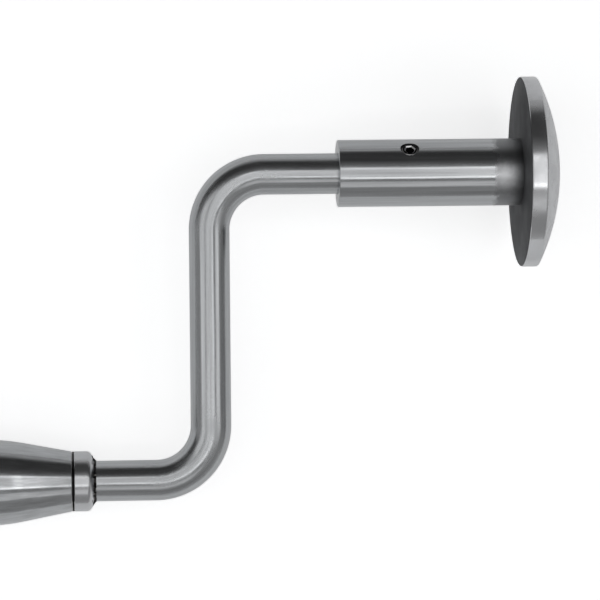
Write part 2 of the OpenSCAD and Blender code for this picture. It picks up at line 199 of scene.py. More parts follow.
# %% Dull end of the sleeve
MATT_ROUGHNESS = 0.36
MATT_EDGE = 1.5 * MM
DULL_STEEL = "#919294"
# The paler tone round a spot on top of the dull end is a painted highlight.
PAINTED_HIGHLIGHT_STEEL = "#D4D5D7"
PAINTED_HIGHLIGHT_AT = Vector((299.8, -0.9, 8.2)) * MM
PAINTED_HIGHLIGHT_R = (1.4 * MM, 7.5 * MM)
BLOTCH_SIZE = (1.6 * MM, 1.6 * MM)
JOINT_DARK_L = 2.2 * MM
JOINT_TONE = 0.4


def dulled(tree, grain, along, tone, rough, start, end):
    """The tone and roughness with a dull, blotchy end, darker at its end and with a painted
    highlight.
    """
    blotches = node(tree, "ShaderNodeMath", {
        0: streaks(tree, grain, BLOTCH_SIZE), 1: 2 * MATT_EDGE}, operation="MULTIPLY")
    ragged = node(tree, "ShaderNodeMath", {0: along, 1: blotches}, operation="ADD")
    dull = node(tree, "ShaderNodeMapRange", {
        "Value": ragged, "From Min": start + MATT_EDGE, "From Max": start + 2 * MATT_EDGE})
    # A paler patch round a spot on top of the sleeve: a painted highlight.
    patch = node(tree, "ShaderNodeVectorMath", {0: grain, 1: PAINTED_HIGHLIGHT_AT}, operation="DISTANCE")
    from_highlight_spot = node(tree, "ShaderNodeMath", {
        0: patch.outputs["Value"], 1: blotches}, operation="ADD")
    painted_highlight = node(tree, "ShaderNodeMapRange", {
        "Value": from_highlight_spot, "From Min": PAINTED_HIGHLIGHT_R[0], "From Max": PAINTED_HIGHLIGHT_R[1],
        "To Min": 1.0, "To Max": 0.0}, interpolation_type="SMOOTHSTEP")
    joint = node(tree, "ShaderNodeMapRange", {
        "Value": along, "From Min": end - JOINT_DARK_L, "From Max": end,
        "To Min": 1.0, "To Max": JOINT_TONE})
    dull_and_highlight_tone = node(tree, "ShaderNodeMix", {
        "Factor": painted_highlight, 6: linear(DULL_STEEL), 7: linear(PAINTED_HIGHLIGHT_STEEL)}, data_type="RGBA")
    dull_and_highlight_tone = node(tree, "ShaderNodeVectorMath", {
        0: dull_and_highlight_tone.outputs[2], "Scale": joint}, operation="SCALE")
    tone = node(tree, "ShaderNodeMix", {"Factor": dull, 6: tone, 7: dull_and_highlight_tone}, data_type="RGBA")
    rough = node(tree, "ShaderNodeMix", {"Factor": dull, 2: rough, 3: MATT_ROUGHNESS})
    return tone.outputs[2], rough


# %% [markdown]
# ### Belt-polished steel
# The bar, sleeve and grip were polished along their length on a belt. The eye
# gets long soft streaks, lighter and darker, that run with the piece, a bright
# line that wanders a little because the belt is held by hand, and faint smudges
# from handling. Three bumps of real depth and one change of tone do this: slow
# waves, long flats, fine lines and brushed streaks. The lines are drawn 0.3 mm
# apart. Real ones are ten times finer and wouldn't show.

# %% Belt-polished steel
BRUSHED_TONES = (0.88, 1.12)
LINE_ROUGHNESS = (0.8, 1.25)
SMUDGED_FROM, SMUDGED_TO = 0.45, 0.7
SMUDGED_ROUGHNESS = 0.5


def belt_polished(name, roughness, wave_depth, flat_depth, line_depth, matt=None, bends=None):
    """Steel polished along the grain. All sizes are in metres.

    matt gives where a dull end starts and ends. bends gives half the length of
    a bend and a list of the bends' middles."""
    material, tree = new_material(name)
    grain = node(tree, "ShaderNodeAttribute", attribute_name="grain").outputs["Vector"]
    along = node(tree, "ShaderNodeSeparateXYZ", {0: grain}).outputs[0]
    lines = streaks(tree, grain, LINE_SIZE)
    waves = node(tree, "ShaderNodeBump", {
        "Height": streaks(tree, grain, WAVE_SIZE, 0.0), "Distance": wave_depth})
    flats = node(tree, "ShaderNodeBump", {
        "Height": streaks(tree, grain, FLAT_SIZE, 1.0), "Distance": flat_depth, "Normal": waves})
    normal = node(tree, "ShaderNodeBump", {
        "Height": lines, "Distance": line_depth, "Normal": flats})
    lined = node(tree, "ShaderNodeMapRange", {
        "Value": lines, "From Min": NOISE_LOW, "From Max": NOISE_HIGH,
        "To Min": roughness * LINE_ROUGHNESS[0], "To Max": roughness * LINE_ROUGHNESS[1]})
    smudged = node(tree, "ShaderNodeMapRange", {
        "Value": streaks(tree, grain, SMUDGE_SIZE, 3.0), "From Min": SMUDGED_FROM,
        "From Max": SMUDGED_TO, "To Min": 0.0, "To Max": roughness * SMUDGED_ROUGHNESS})
    rough = node(tree, "ShaderNodeMath", {0: lined, 1: smudged}, operation="ADD")
    brushed = node(tree, "ShaderNodeMapRange", {
        "Value": streaks(tree, grain, BRUSHED_SIZE, 3.0), "From Min": NOISE_LOW,
        "From Max": NOISE_HIGH, "To Min": BRUSHED_TONES[0], "To Max": BRUSHED_TONES[1]})
    tone = node(tree, "ShaderNodeVectorMath", {
        0: linear(STEEL)[:3], "Scale": brushed}, operation="SCALE")
    if bends:
        rough = rough_in_bends(tree, grain, along, rough, *bends)
    if matt:
        tone, rough = dulled(tree, grain, along, tone, rough, *matt)
    return finished_look(material, tree, {
        "Base Color": tone, "Metallic": 1.0, "Roughness": rough, "Normal": normal})


grip_steel = belt_polished("belt_polished_grip_steel", 0.13, 20e-6, 9e-6, 0.8e-6)
# The sleeve's dull end darkens towards the joint and carries a painted highlight on top.
SLEEVE_MATT_L = 7.4 * MM
sleeve_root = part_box("head_sleeve")[1].x
sleeve_steel = belt_polished("belt_polished_sleeve_steel", 0.13, 24e-6, 9e-6, 1.0e-6,
                             (sleeve_root - SLEEVE_MATT_L, sleeve_root))

# %% [markdown]
# ### Turned steel
# The palm disc, collars and chuck came off a lathe and were only buffed. The
# tool leaves rings about a third of a millimetre apart. The pattern is drawn
# over the distance along the axis and the distance from it, so the rings close
# on themselves and there is no seam. Buffing on a wheel leaves these pieces a
# little brighter than the belt leaves the bar, and smudges from handling make
# them rougher and darker in places.

# %% Turned steel
RING_SIZE = (0.35 * MM, 0.35 * MM)
PATCH_SIZE = (6 * MM, 6 * MM)
MOTTLED_FROM, MOTTLED_TO = 0.35, 0.7
MOTTLED_TONES = (1.06, 0.92)
CLEAN_ROUGHNESS = 0.85


def turned_steel(name, tone, roughness, ring_depth, wave_depth=0.0, smudges=SMUDGE_SIZE,
                 roughest=1.35):
    """Metal with a lathe tool's rings and a buffer's slow waves, whose depths are in metres.

    smudges is the size of a smudge, and roughest how many times rougher it can be."""
    material, tree = new_material(name)
    grain = node(tree, "ShaderNodeAttribute", attribute_name="grain").outputs["Vector"]
    split = node(tree, "ShaderNodeSeparateXYZ", {0: grain})
    across = node(tree, "ShaderNodeCombineXYZ", {1: split.outputs[1], 2: split.outputs[2]})
    radius = node(tree, "ShaderNodeVectorMath", {0: across}, operation="LENGTH").outputs["Value"]
    unrolled = node(tree, "ShaderNodeCombineXYZ", {0: split.outputs[0], 1: radius})
    waves = node(tree, "ShaderNodeBump", {
        "Height": streaks(tree, grain, WAVE_SIZE, 1.0), "Distance": wave_depth})
    rings = node(tree, "ShaderNodeBump", {
        "Height": streaks(tree, unrolled, RING_SIZE), "Distance": ring_depth, "Normal": waves})
    smudged = streaks(tree, grain, smudges, 3.0)
    rough = node(tree, "ShaderNodeMapRange", {
        "Value": smudged, "From Min": MOTTLED_FROM, "From Max": MOTTLED_TO,
        "To Min": roughness * CLEAN_ROUGHNESS, "To Max": roughness * roughest})
    mottled = node(tree, "ShaderNodeMapRange", {
        "Value": smudged, "From Min": MOTTLED_FROM, "From Max": MOTTLED_TO,
        "To Min": MOTTLED_TONES[0], "To Max": MOTTLED_TONES[1]})
    colour = node(tree, "ShaderNodeVectorMath", {
        0: linear(tone)[:3], "Scale": mottled}, operation="SCALE")
    return finished_look(material, tree, {
        "Base Color": colour, "Metallic": 1.0, "Roughness": rough, "Normal": rings})


BRIGHT_STEEL = "#D3D4D6"
disc_steel = turned_steel("turned_disc_steel", BRIGHT_STEEL, 0.24, 1.2e-6, smudges=PATCH_SIZE)
rim_steel = turned_steel("polished_rim_steel", BRIGHT_STEEL, 0.14, 0.6e-6, 36e-6, PATCH_SIZE, 2.2)
# The inner face is rough and dull, and its dark tone is painted shade between the disc and the
# sleeve.
shaded_inner_face_steel = turned_steel("inner_face_painted_shade_steel", "#5B5C5E", 0.58, 3e-6)
collar_steel = turned_steel("turned_collar_steel", BRIGHT_STEEL, 0.18, 1.0e-6, 12e-6)
chuck_steel = turned_steel("turned_chuck_steel", BRIGHT_STEEL, 0.18, 1.0e-6, 8e-6)

# %% [markdown]
# ## Turned pieces
# Nearly every piece came off a lathe, so one function turns an outline about
# the X axis. The outline is a list of corners, [x, radius, ease], in
# millimetres, and each corner is eased with its own small radius, because no
# hand-finished edge is sharp. The piece stores its grain as it is made. A
# weighted normal at each point keeps the broad faces true beside the tiny
# edges, where plain smooth shading would bend the reflections.

# %% Outlines
SIDES = 256
SMALL_SIDES = 64        # for drilled holes and the screw
EASE_STEPS = 4


def arc(centre, radius, start, end, steps):
    """Points on an arc, from one angle to another in degrees."""
    angles = np.radians(np.linspace(start, end, steps + 1))
    return [[centre[0] + radius * math.cos(a), centre[1] + radius * math.sin(a)] for a in angles]


def eased(corners):
    """Rounds each corner [x, radius, ease] of a closed outline. With no ease it stays sharp."""
    points = []
    for i, (x, r, *ease) in enumerate(corners):
        here = Vector((x, r))
        if not ease:
            points.append([x, r])
            continue
        before = (Vector(corners[i - 1][:2]) - here).normalized()
        after = (Vector(corners[(i + 1) % len(corners)][:2]) - here).normalized()
        half = before.angle(after) / 2
        centre = here + (before + after).normalized() * ease[0] / math.sin(half)
        spoke = here + before * ease[0] / math.tan(half) - centre
        sweep = math.copysign(math.pi - 2 * half, -before.cross(after))
        for k in range(EASE_STEPS + 1):
            points.append(list(centre + Matrix.Rotation(sweep * k / EASE_STEPS, 2) @ spoke))
    return points


# %% Plain meshes and smooth shading
def new_piece(name, mesh):
    """An object at the origin that holds the mesh."""
    piece = bpy.data.objects.new(name, mesh)
    bpy.context.scene.collection.objects.link(piece)
    return piece


def settled(piece):
    """Turns what the modifiers make into the piece's own plain mesh, and removes them."""
    graph = bpy.context.evaluated_depsgraph_get()
    mesh = bpy.data.meshes.new_from_object(
        piece.evaluated_get(graph), preserve_all_data_layers=True, depsgraph=graph)
    piece.modifiers.clear()
    piece.data = mesh
    return piece


def smoothed(piece, angle=28):
    """Smooth faces, with sharp edges above the angle and broad faces kept true."""
    piece.data.shade_smooth()
    piece.data.set_sharp_from_angle(angle=math.radians(angle))
    piece.modifiers.new("true_faces", "WEIGHTED_NORMAL").keep_sharp = True
    return settled(piece)


# %% The lathe
def store_grain(mesh):
    """Stores each point's place as its grain."""
    points = np.empty(len(mesh.vertices) * 3, np.float32)
    mesh.vertices.foreach_get("co", points)
    grain = mesh.attributes.get("grain") or mesh.attributes.new("grain", "FLOAT_VECTOR", "POINT")
    grain.data.foreach_set("vector", points)


def turned(name, outline, material, axis_y=0.0, sides=SIDES):
    """Turns an outline of [x, radius] in mm about a line along X. An end at radius 0 is a pole."""
    angles = np.linspace(0, 2 * math.pi, sides, endpoint=False)
    build = bmesh.new()
    rings = []
    for x, r in outline:
        ring_angles = angles if r > 0 else [0.0]
        rings.append([build.verts.new(Vector((x, r * math.cos(a), r * math.sin(a))) * MM)
                      for a in ring_angles])
    solid = len(rings[0]) == 1 and len(rings[-1]) == 1
    for one, two in zip(rings, rings[1:] if solid else rings[1:] + rings[:1]):
        for i in range(sides):
            j = (i + 1) % sides
            corners = [one[i % len(one)], one[j % len(one)], two[j % len(two)], two[i % len(two)]]
            build.faces.new(dict.fromkeys(corners))
    bmesh.ops.recalc_face_normals(build, faces=build.faces)
    mesh = bpy.data.meshes.new(name)
    build.to_mesh(mesh)
    build.free()
    store_grain(mesh)
    mesh.transform(Matrix.Translation((0, axis_y * MM, 0)))
    mesh.materials.append(material)
    return new_piece(name, mesh)


def placed(piece, body, slot, *nodes):
    """Ties a finished piece to its body and hides the nodes that it stands for. The slot is not
    used.
    """
    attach(piece, body)
    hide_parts(*nodes)
    print(piece.name, "rides on", body + ",", len(piece.data.polygons), "faces")
    return piece


def span(node_name):
    """Where a node starts and ends along X, and its largest radius, in millimetres."""
    low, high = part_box(node_name)
    return low.x / MM, high.x / MM, (high.z - low.z) / 2 / MM


# %% [markdown]
# ## The palm head
# The disc is a solid turning: a thin rim, and a shallow dome where the palm
# rests. The dome is one arc of about 52 mm radius, and a short spigot behind
# the disc is soldered into the sleeve. The dome could be a scaled sphere, but
# an outline keeps its edge at the rim crisp, as in the photograph. The rim was
# polished on the wheel and shows the lights sharply. The face on the sleeve's
# side is dull, and its dark tone is painted shade, the shade that falls
# between the disc and the sleeve.

# %% Palm disc
EDGE = 0.3
DOME_H = 5.6
DOME_STEPS = 48
RIM_ROUND = 0.5
RIM_STEPS = 6
DISC_SHARP = 20
SHADE_FACE_BELOW, RIM_BELOW = -0.7, 0.3       # how far a face may look along X to count as either
disc_start, disc_end, disc_r = span("palm_disc")
sleeve_start, sleeve_end, sleeve_r = span("head_sleeve")
seat_r = span("thrust_cup")[2]
dome_r = (disc_r ** 2 + DOME_H ** 2) / (2 * DOME_H)
dome_x = disc_end - dome_r
round_x = dome_x + math.sqrt((dome_r - RIM_ROUND) ** 2 - (disc_r - RIM_ROUND) ** 2)
round_angle = math.degrees(math.atan2(disc_r - RIM_ROUND, round_x - dome_x))
# The last two corners only aim the easing. The arcs take their place.
disc_outline = eased([
    [disc_start, 0], [disc_start, seat_r, EDGE], [sleeve_end, seat_r],
    [sleeve_end, disc_r, RIM_ROUND], [round_x, disc_r], [disc_end, 0]])[:-2]
disc_outline += arc([round_x, disc_r - RIM_ROUND], RIM_ROUND, 90, round_angle, RIM_STEPS)
disc_outline += arc([dome_x, 0], dome_r, round_angle, 0, DOME_STEPS)[1:-1] + [[disc_end, 0]]
palm_disc = smoothed(turned("palm_disc_finished", disc_outline, disc_steel), DISC_SHARP)
palm_disc.data.materials.append(shaded_inner_face_steel)
palm_disc.data.materials.append(rim_steel)
for polygon in palm_disc.data.polygons:
    if polygon.center.x > (sleeve_end - HAIR) * MM:
        # Faces that look back at the sleeve get the dark tone of painted shade.
        if polygon.normal.x < SHADE_FACE_BELOW:
            polygon.material_index = 1
        elif polygon.normal.x < RIM_BELOW:
            polygon.material_index = 2
placed(palm_disc, "head", "turned_steel", "palm_disc")
print("dome radius", round(dome_r, 2), "mm")

# %% [markdown]
# ### Sleeve
# The sleeve is a tube, bored from the disc's side up to a lip that closes round
# the bar. Its threaded hole takes the retaining screw, whose tip runs in a
# groove of the bar. The hole is made here as in the workshop: a turned cutter
# with a countersink and thread ridges is taken out of the tube. The cutter
# brings its own material, whose dark tone is painted shade inside the hole.

# %% Drilling
PAST = 1                # in mm, how far a cutter stands past the surface


def outward(x, y, z):
    """The place of what stands on the drilling axis at x mm and points towards y, z."""
    return Matrix.Translation((x * MM, 0, 0)) @ Matrix.Rotation(-math.atan2(y, z), 4, "X")


def stood(piece, place):
    """Turns a piece from the X axis to the Z axis and then puts it in place."""
    piece.data.transform(place @ Matrix.Rotation(math.radians(-90), 4, "Y"))
    return piece


def cut(piece, cutter):
    """Takes the cutter's shape out of the piece. The cut faces get the cutter's material.

    The cut loses the grain, so it is stored again, and the piece has to lie on the X axis."""
    change = piece.modifiers.new("cut", "BOOLEAN")
    change.object = cutter
    change.solver = "EXACT"
    change.material_mode = "TRANSFER"
    settled(piece)
    store_grain(piece.data)
    bpy.data.objects.remove(cutter)
    return piece


# %% Sleeve
SCREW_X = 17.4
SCREW_TURN = math.radians(48)
SCREW_HOLE_R = 2.02
THREAD_PITCH = 0.7
THREAD_DEPTH = 0.14
THREAD_CORNERS = 9
HOLE_START_R = 4
PASS_GAP = 0.15
SEAT_GAP = 0.02
bar_r = span("crank_bar")[2]
lip_end = span("sleeve_bush_open_end")[0]
on_screw = outward(sleeve_start + SCREW_X, math.sin(SCREW_TURN), math.cos(SCREW_TURN))
# The thread's dark tone is painted shade inside the hole.
shaded_thread = turned_steel("thread_painted_shade_steel", "#3A3A3B", 0.35, 1.0e-6)
sleeve = turned("head_sleeve_finished", eased([
    [sleeve_start, sleeve_r, EDGE], [sleeve_end, sleeve_r],
    [sleeve_end, seat_r + SEAT_GAP], [lip_end, seat_r + SEAT_GAP],
    [lip_end, bar_r + PASS_GAP], [sleeve_start, bar_r + PASS_GAP, PASS_GAP]]), sleeve_steel)
hole_mouth = sleeve_r - EDGE
thread = [[hole_mouth - k * THREAD_PITCH / 2, SCREW_HOLE_R + THREAD_DEPTH * (k % 2)]
          for k in range(THREAD_CORNERS)]
screw_drill = stood(turned("screw_drill", [
    [HOLE_START_R, 0], [HOLE_START_R, SCREW_HOLE_R], *thread[::-1],
    [sleeve_r + PAST, SCREW_HOLE_R + EDGE + PAST], [sleeve_r + PAST, 0]],
    shaded_thread, sides=SMALL_SIDES), on_screw)
placed(smoothed(cut(sleeve, screw_drill)), "head", "polished_steel", "head_sleeve")

# %% [markdown]
# ### Retaining screw
# It is a socket set screw with a black-oxide skin, sunk a little below the
# surface of the sleeve. The black has rubbed off round the mouth of the hexagon
# and on the rim, so the eye gets a black ring with bright glints in it. The
# hexagon could be a dark picture on the screw. A six-sided cutter gives it real
# depth, and a second, wider one leaves the worn bevel round its mouth.

# %% Retaining screw
SCREW_R = 2
SCREW_TIP_R = 1.25
SCREW_TIP_START = 4.1
SCREW_TIP_EDGE = 0.15
SCREW_SINK = 0.3
SCREW_FLATS = 2
SOCKET_DEPTH = 1.5
SOCKET_POINT_L = 0.4
SOCKET_TURN = math.radians(52)
WORN_BEVEL = 0.28
WORN_RIM = (0.2, 0.95)  # how far the faces of the rim look outwards
black_oxide = turned_steel("black_oxide_steel", "#1B1B1D", 0.3, 0.6e-6)
worn_edge = turned_steel("worn_bright_edge_steel", "#F0F0F1", 0.3, 0.4e-6)
screw_top = sleeve_r - SCREW_SINK
screw = turned("retaining_screw_finished", eased([
    [SCREW_TIP_START, 0], [SCREW_TIP_START, SCREW_TIP_R, SCREW_TIP_EDGE],
    [seat_r - EDGE, SCREW_TIP_R], [seat_r - EDGE, SCREW_R],
    [screw_top, SCREW_R, EDGE], [screw_top, 0]]), black_oxide, sides=SMALL_SIDES)
screw.data.materials.append(worn_edge)
for polygon in screw.data.polygons:
    on_rim = WORN_RIM[0] < polygon.normal.x < WORN_RIM[1]
    if on_rim and polygon.center.x > (screw_top - EDGE) * MM:
        polygon.material_index = 1
hexagon_r = SCREW_FLATS / math.sqrt(3)
socket = turned("socket", [
    [screw_top - SOCKET_DEPTH - SOCKET_POINT_L, 0], [screw_top - SOCKET_DEPTH, hexagon_r],
    [screw_top + PAST, hexagon_r], [screw_top + PAST, 0]], black_oxide, sides=6)
socket_mouth = turned("socket_mouth", [
    [screw_top - WORN_BEVEL, 0], [screw_top - WORN_BEVEL, hexagon_r - HAIR],
    [screw_top + PAST, hexagon_r + PAST + WORN_BEVEL], [screw_top + PAST, 0]], worn_edge, sides=6)
for cutter in (socket, socket_mouth):
    cutter.data.transform(Matrix.Rotation(math.radians(90) - SOCKET_TURN, 4, "X"))
    cut(screw, cutter)
placed(smoothed(stood(screw, on_screw)), "head", "black_screw", "retaining_screw")

# %% [markdown]
# ## The bent bar
# One round bar of 10 mm stock is bent cold in four places over the same roller,
# so all bends have one radius. A line with rounded corners, swept with a
# circle, is exactly that, and Geometry Nodes make it. The corners come from the
# frame, and the inputs are the sizes. The tree also stores the distance along
# the bar and the place round it, which become the grain. The groove for the
# screw's tip, the hole for the cross pin and the cone for the thrust ball are
# hidden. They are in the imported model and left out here.

# %% Where the bar bends
bar_points = np.array([v.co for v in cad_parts["crank_bar"].data.vertices]) / MM
bar_start, bar_end = bar_points[:, 0].min(), bar_points[:, 0].max()
grip_y = bar_points[:, 1].min() + bar_r
# All that lies beyond half the throw is between the outer sides of the two arms.
arms = bar_points[bar_points[:, 1] < grip_y / 2, 0]
near_arm, far_arm = arms.min() + bar_r, arms.max() - bar_r
# The first bend starts where the straight outer side of the bar ends.
outer_side = bar_points[bar_points[:, 1] > bar_r - MICRON, 0]
bend_r = near_arm - outer_side[outer_side < near_arm].max()
bend_l = bend_r * math.pi / 2
bend_middles = [near_arm - bar_start - bend_r + bend_l / 2]
for run in (-grip_y, far_arm - near_arm, -grip_y):
    bend_middles.append(bend_middles[-1] + run - 2 * bend_r + bend_l)
bar_steel = belt_polished("belt_polished_bar_steel", 0.16, 20e-6, 14e-6, 1.2e-6,
                          bends=(bend_l / 2 * MM, [middle * MM for middle in bend_middles]))
print("throw", round(-grip_y, 2), "arms at", round(near_arm, 2), round(far_arm, 2),
      "bend radius", round(bend_r, 2), "mm")


# %% Geometry Nodes helpers
def geometry_tree(name, sizes):
    """A Geometry Nodes tree with a named input for each size, given as {name: socket kind}."""
    tree = bpy.data.node_groups.new(name, "GeometryNodeTree")
    tree.interface.new_socket("Geometry", in_out="INPUT", socket_type="NodeSocketGeometry")
    for label, kind in sizes.items():
        tree.interface.new_socket(label, in_out="INPUT", socket_type="NodeSocket" + kind)
    tree.interface.new_socket("Geometry", in_out="OUTPUT", socket_type="NodeSocketGeometry")
    return tree, node(tree, "NodeGroupInput").outputs


def closed_tree(tree, geometry, material):
    """Ends the tree: real geometry in place of instances, smooth faces, one material."""
    real = node(tree, "GeometryNodeRealizeInstances", {"Geometry": geometry})
    smooth = node(tree, "GeometryNodeSetShadeSmooth", {"Geometry": real})
    finished = node(tree, "GeometryNodeSetMaterial", {"Geometry": smooth, "Material": material})
    node(tree, "NodeGroupOutput", {0: finished})


def grown(piece, tree, values):
    """Runs the tree on the piece with these input values and keeps the result as a plain mesh."""
    modifier = piece.modifiers.new(tree.name, "NODES")
    modifier.node_group = tree
    for item in tree.interface.items_tree:
        if item.in_out == "INPUT" and item.name in values:
            modifier[item.identifier] = values[item.name]
    return settled(piece)


# %% The tree that sweeps the bar
sweep, given = geometry_tree("swept_bar", {
    "Bar radius": "Float", "Bend steps": "Int", "Sides": "Int"})
corner_r, run_so_far = (
    node(sweep, "GeometryNodeInputNamedAttribute", {"Name": label}, data_type="FLOAT")
    for label in ("corner", "along"))
line = node(sweep, "GeometryNodeMeshToCurve", {"Mesh": given["Geometry"]})
rounded = node(sweep, "GeometryNodeFilletCurve", {
    "Curve": line, "Radius": corner_r, "Count": given["Bend steps"]}, mode="POLY")
along = node(sweep, "GeometryNodeSplineParameter").outputs["Length"]
measured = node(sweep, "GeometryNodeStoreNamedAttribute", {
    "Geometry": rounded, "Name": "along", "Value": along}, data_type="FLOAT")
ring = node(sweep, "GeometryNodeCurvePrimitiveCircle", {
    "Resolution": given["Sides"], "Radius": given["Bar radius"]})
ring_place = node(sweep, "GeometryNodeStoreNamedAttribute", {
    "Geometry": ring, "Name": "across", "Value": node(sweep, "GeometryNodeInputPosition")},
    data_type="FLOAT_VECTOR")
tube = node(sweep, "GeometryNodeCurveToMesh", {
    "Curve": measured, "Profile Curve": ring_place, "Fill Caps": True})
across = node(sweep, "ShaderNodeSeparateXYZ", {0: node(
    sweep, "GeometryNodeInputNamedAttribute", {"Name": "across"}, data_type="FLOAT_VECTOR")})
bar_grain = node(sweep, "ShaderNodeCombineXYZ", {
    0: run_so_far, 1: across.outputs[0], 2: across.outputs[1]})
grained = node(sweep, "GeometryNodeStoreNamedAttribute", {
    "Geometry": tube, "Name": "grain", "Value": bar_grain}, data_type="FLOAT_VECTOR")
closed_tree(sweep, grained, bar_steel)
print("tree", sweep.name, "has", len(sweep.nodes), "nodes")

# %% Bar
bar_line = [
    (bar_start, 0, 0), (near_arm, 0, bend_r), (near_arm, grip_y, bend_r),
    (far_arm, grip_y, bend_r), (far_arm, 0, bend_r), (bar_end, 0, 0)]
bar_mesh = bpy.data.meshes.new("crank_bar_finished")
bar_mesh.from_pydata([(x * MM, y * MM, 0) for x, y, _ in bar_line],
                     [(i, i + 1) for i in range(len(bar_line) - 1)], [])
corners = bar_mesh.attributes.new("corner", "FLOAT", "POINT")
corners.data.foreach_set("value", [corner * MM for _, _, corner in bar_line])
bar = grown(new_piece("crank_bar_finished", bar_mesh), sweep, {
    "Bar radius": bar_r * MM, "Bend steps": 40, "Sides": 128})
placed(smoothed(bar), "crank", "bar_steel", "crank_bar")

# %% [markdown]
# ## The grip
# The grip is a barrel: straight tapers at its ends run into a long crown by a
# 50 mm blend, so the palm finds no edge. The outline is worked out from those
# three sizes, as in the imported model, and then turned with finer steps. The
# bore is hidden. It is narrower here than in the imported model, where the
# bushes sit in it.

# %% Grip
TAPER = 10.8
BLEND_R = 50
CROWN_R = 600
GRIP_END_R = 7.4
GRIP_BORE_R = bar_r + 2 * EDGE
BLEND_STEPS = 24
CROWN_STEPS = 32
grip_start, grip_end, grip_r = span("grip_barrel")
crown_at = Vector(((grip_start + grip_end) / 2, grip_r - CROWN_R))
taper_along = Vector((math.cos(math.radians(TAPER)), math.sin(math.radians(TAPER))))
taper_in = Vector((taper_along.y, -taper_along.x))
from_crown = Vector((grip_start, GRIP_END_R)) + BLEND_R * taper_in - crown_at
# The taper ends where the blend's centre is CROWN_R - BLEND_R from the crown's.
part_way = from_crown.dot(taper_along)
meeting = part_way ** 2 - from_crown.length_squared + (CROWN_R - BLEND_R) ** 2
taper_l = math.sqrt(meeting) - part_way
blend_at = crown_at + from_crown + taper_l * taper_along
blend_angle = math.degrees(math.atan2(blend_at.y - crown_at.y, blend_at.x - crown_at.x))
crown = arc(blend_at, BLEND_R, 90 + TAPER, blend_angle, BLEND_STEPS)
crown += arc(crown_at, CROWN_R, blend_angle, 180 - blend_angle, CROWN_STEPS)[1:]
crown += [[grip_start + grip_end - x, r] for x, r in crown[BLEND_STEPS::-1]][1:]
grip = smoothed(turned("grip_finished", eased([
    [grip_start, GRIP_BORE_R], [grip_start, GRIP_END_R, EDGE], *crown,
    [grip_end, GRIP_END_R, EDGE], [grip_end, GRIP_BORE_R]]), grip_steel, grip_y))
placed(grip, "grip", "grip_steel", "grip_barrel")
print("taper", round(taper_l, 2), "mm long")

# %% [markdown]
# ### Grip collars
# A collar at each end keeps the grip in place. Its outer end slopes at 62
# degrees towards the bar and its rim is rounded, so a finger slides over it.
# The second could be the first one mirrored, but a mirror turns a mesh inside
# out, so the outline is drawn from its outer end to its inner end, either way.

# %% Grip collars
COLLAR_SLOPE = 62
COLLAR_ROUND = 1.3
COLLAR_FOOT = 0.1


def collar_outline(outer, inner, radius):
    """A collar from its sloped outer end to its flat inner end, in millimetres along X."""
    way = math.copysign(1, inner - outer)
    bore = bar_r + SEAT_GAP
    slope = (radius - bore - COLLAR_FOOT) / math.tan(math.radians(COLLAR_SLOPE))
    return eased([
        [outer, bore], [outer, bore + COLLAR_FOOT], [outer + way * slope, radius, COLLAR_ROUND],
        [inner, radius, EDGE / 2], [inner, bore]])


for side, flat_first in (("grip_collar_head_side", True), ("grip_collar_chuck_side", False)):
    start, end, collar_r = span(side)
    ends = (end, start) if flat_first else (start, end)
    collar = turned(side + "_finished", collar_outline(*ends, collar_r), collar_steel, grip_y)
    placed(smoothed(collar), "crank", "collar_steel", side)

# %% [markdown]
# ### Painted shade where each collar meets the bar
# The eye gets a rough black ring with a few bright specks in the corner where
# each collar meets the bar. This ring is painted shade: a small fillet, turned
# like the rest, whose points are then moved in and out by noise, so that the
# lumps are real and show at the silhouette too.

# %% Painted shade ring
SHADE_RING_L = 0.3
SHADE_RING_H = 1.35
SHADE_RING_SAG = 0.1
SHADE_RING_SUNK = 0.1
SHADE_RING_STEPS = 8
SHADE_RING_SHARP = 60
LUMP_SIZE = 0.4 * MM
LUMP_HEIGHT = 0.22 * MM
RING_NOISE_SIZE = MM / 2.6
RING_NOISE_DEPTH = 60e-6
BRIGHT_SPECKS_FROM, BRIGHT_SPECKS_TO = 0.6, 0.66
# A near-black finish with a few bright specks: painted shade in the corner.
material, tree = new_material("painted_corner_shade_ring")
spot = node(tree, "ShaderNodeTexCoord").outputs["Object"]
ring_noise = node(tree, "ShaderNodeTexNoise", {"Vector": spot, "Scale": 1 / RING_NOISE_SIZE, "Detail": 4.0})
bright_specks = node(tree, "ShaderNodeMapRange", {
    "Value": ring_noise, "From Min": BRIGHT_SPECKS_FROM, "From Max": BRIGHT_SPECKS_TO})
tones = node(tree, "ShaderNodeMix", {
    "Factor": bright_specks, 6: linear("#0D0C0C"), 7: linear("#D8D6D2")}, data_type="RGBA").outputs[2]
painted_corner_shade = finished_look(material, tree, {
    "Base Color": tones, "Metallic": bright_specks, "Roughness": 0.6, "Specular IOR Level": 0.1,
    "Normal": node(tree, "ShaderNodeBump", {"Height": ring_noise, "Distance": RING_NOISE_DEPTH})})

